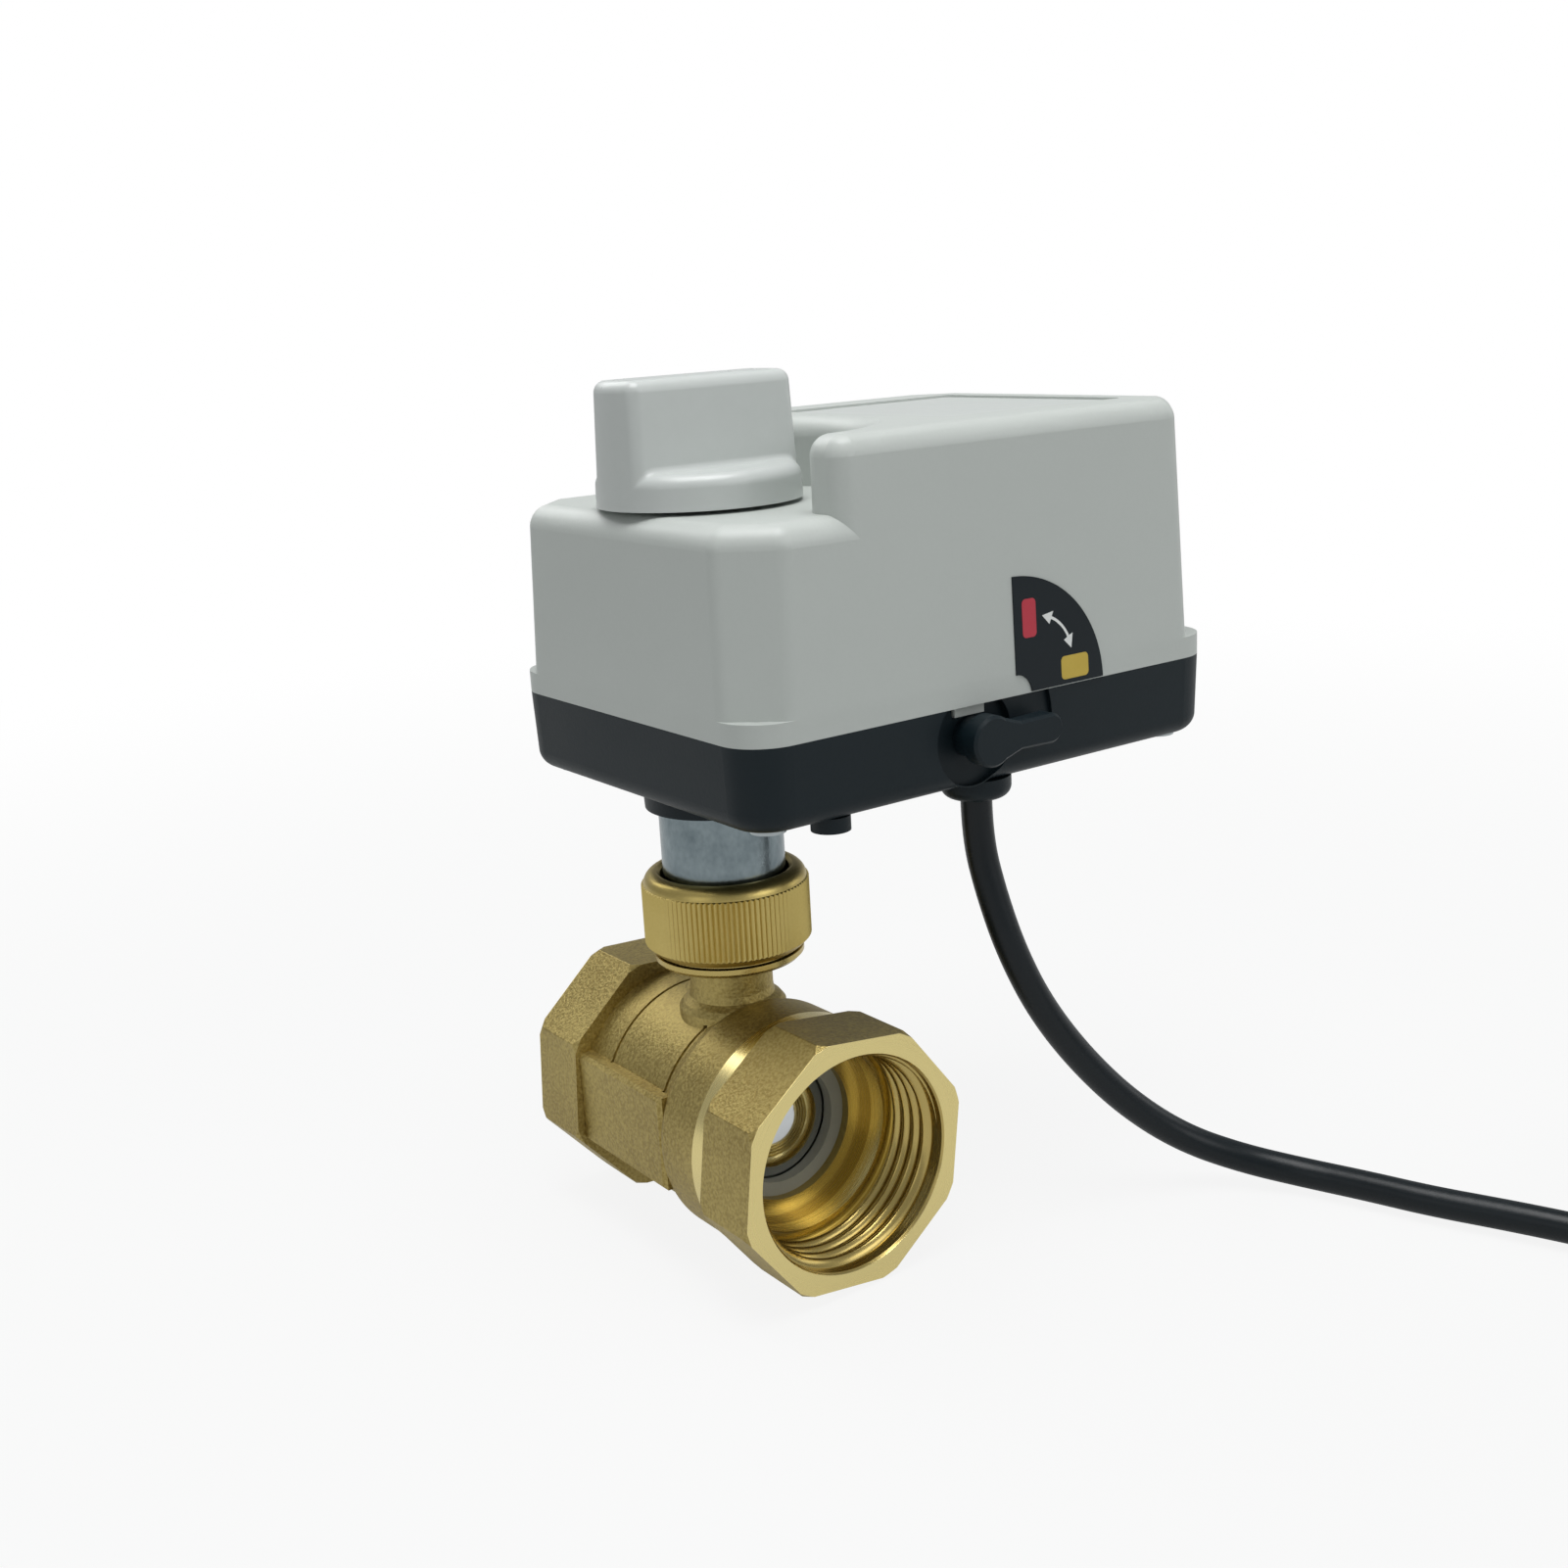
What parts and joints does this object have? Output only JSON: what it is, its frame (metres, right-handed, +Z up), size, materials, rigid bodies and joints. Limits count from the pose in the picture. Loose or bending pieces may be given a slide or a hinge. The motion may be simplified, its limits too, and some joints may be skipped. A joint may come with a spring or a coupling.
{
  "type": "motorized valve",
  "caption": "Brass ball valve with screwed pipe ports under an electric quarter-turn drive with position knob, change-over lever and cable.",
  "frame": {"origin": "centre of the front pipe port at its machined face, on the pipe axis", "axes": "+Y along the pipe from the front port to the rear port, +Z up along the valve stem towards the knob, +X along the drive housing away from the knob"},
  "size_m": [0.1704, 0.1678, 0.1339],
  "materials": {
    "brass_body": "sand-blasted",
    "brass_turned": "turned",
    "chromed_ball": "polished",
    "seat_ptfe": "smooth",
    "zinc_steel": "zinc plated",
    "stainless": "turned",
    "grey_plastic": "fine texture",
    "black_plastic": "fine texture",
    "label_film": "printed film",
    "black_rubber": "matt",
    "fibre_seal": "fibre",
    "white_nylon": "smooth",
    "switch_plastic": "smooth",
    "red_button": "smooth",
    "board_green": "solder mask",
    "terminal_green": "moulded",
    "capacitor_yellow": "moulded",
    "cable_sheath": "satin",
    "core_brown": "insulation",
    "core_blue": "insulation",
    "core_black": "insulation"
  },
  "bodies": {
    "valve": {"valve_body": "brass_body", "end_cap": "brass_body", "gland_bush": "brass_turned", "front_seat": "seat_ptfe", "rear_seat": "seat_ptfe", "thrust_washer": "seat_ptfe", "stem_packing": "seat_ptfe", "cap_gasket": "fibre_seal", "union_seal": "fibre_seal", "mounting_tube": "zinc_steel", "base": "black_plastic", "cover": "grey_plastic", "cover_gasket": "black_rubber", "cover_screws": "zinc_steel", "mode_label": "label_film", "shaft_bush": "white_nylon", "lower_gear_plate": "zinc_steel", "upper_gear_plate": "zinc_steel", "plate_pillars": "brass_turned", "plate_screws": "zinc_steel", "gear_axles": "stainless", "motor": "zinc_steel", "motor_screws": "zinc_steel", "fork_guide_pin": "stainless", "clutch_spring": "stainless", "circuit_board": "board_green", "board_spacers": "brass_turned", "close_switch": "switch_plastic", "open_switch": "switch_plastic", "terminal_board": "board_green", "terminal_block": "terminal_green", "capacitor": "capacitor_yellow", "cable_gland": "black_plastic", "inner_lead": "cable_sheath", "lead_clamp": "black_plastic", "cable": "cable_sheath", "cable_coil": "cable_sheath", "cable_ties": "switch_plastic", "core_brown": "core_brown", "core_blue": "core_blue", "core_black": "core_black"},
    "output": {"output_shaft": "stainless", "knob": "grey_plastic", "output_gear": "white_nylon", "close_cam": "white_nylon", "open_cam": "white_nylon", "shaft_clip": "zinc_steel", "stem": "stainless", "stem_o_rings": "black_rubber", "ball": "chromed_ball"},
    "clutch_gear": {"clutch_gear": "white_nylon"},
    "idler_gear": {"idler_gear": "white_nylon"},
    "motor_rotor": {"motor_pinion": "brass_turned"},
    "clutch_fork": {"lifting_fork": "zinc_steel"},
    "change_over_lever": {"mode_lever": "black_plastic", "lever_shaft": "stainless", "lever_clip": "zinc_steel"},
    "close_button": {"close_button": "red_button"},
    "open_button": {"open_button": "red_button"},
    "union_nut": {"union_nut": "brass_body"}
  },
  "joints": [
    {"name": "output_turn", "type": "hinge", "parent": "valve", "child": "output", "pos_m": [0, 0.0305, 0.06], "axis": [0, 0, 1], "range_deg": [0, 90]},
    {"name": "lever_turn", "type": "hinge", "parent": "valve", "child": "change_over_lever", "pos_m": [0.0235, -0.003, 0.0606], "axis": [0, -1, 0], "range_deg": [0, 90]},
    {"name": "fork_lift", "type": "slide", "parent": "valve", "child": "clutch_fork", "axis": [0, 0, 1], "range_m": [0, 0.0022], "deforming": ["clutch_spring"]},
    {"name": "clutch_spin", "type": "hinge", "parent": "clutch_fork", "child": "clutch_gear", "pos_m": [0.0168, 0.0305, 0.064], "axis": [0, 0, 1], "range_deg": [-225, 0]},
    {"name": "idler_spin", "type": "hinge", "parent": "valve", "child": "idler_gear", "pos_m": [0.0318, 0.0305, 0.064], "axis": [0, 0, 1], "range_deg": [0, 712.5]},
    {"name": "motor_spin", "type": "hinge", "parent": "valve", "child": "motor_rotor", "pos_m": [0.0433, 0.0305, 0.064], "axis": [0, 0, 1], "range_deg": [-2565, 0]},
    {"name": "close_button_press", "type": "slide", "parent": "valve", "child": "close_button", "axis": [0, -1, 0], "range_m": [0, 0.0008], "stiffness_N_per_m": 600},
    {"name": "open_button_press", "type": "slide", "parent": "valve", "child": "open_button", "axis": [0, 1, 0], "range_m": [0, 0.0008], "stiffness_N_per_m": 600},
    {"name": "union_nut_turn", "type": "hinge", "parent": "valve", "child": "union_nut", "pos_m": [0, 0.0305, 0.033], "axis": [0, 0, 1], "continuous": true}
  ],
  "couplings": [
    {"joint": "clutch_spin", "follows": "output_turn", "ratio": -2.5},
    {"joint": "idler_spin", "follows": "output_turn", "ratio": 7.9167},
    {"joint": "motor_spin", "follows": "output_turn", "ratio": -28.5},
    {"joint": "lever_turn", "follows": "fork_lift", "rad_per_m": 713.9}
  ]
}
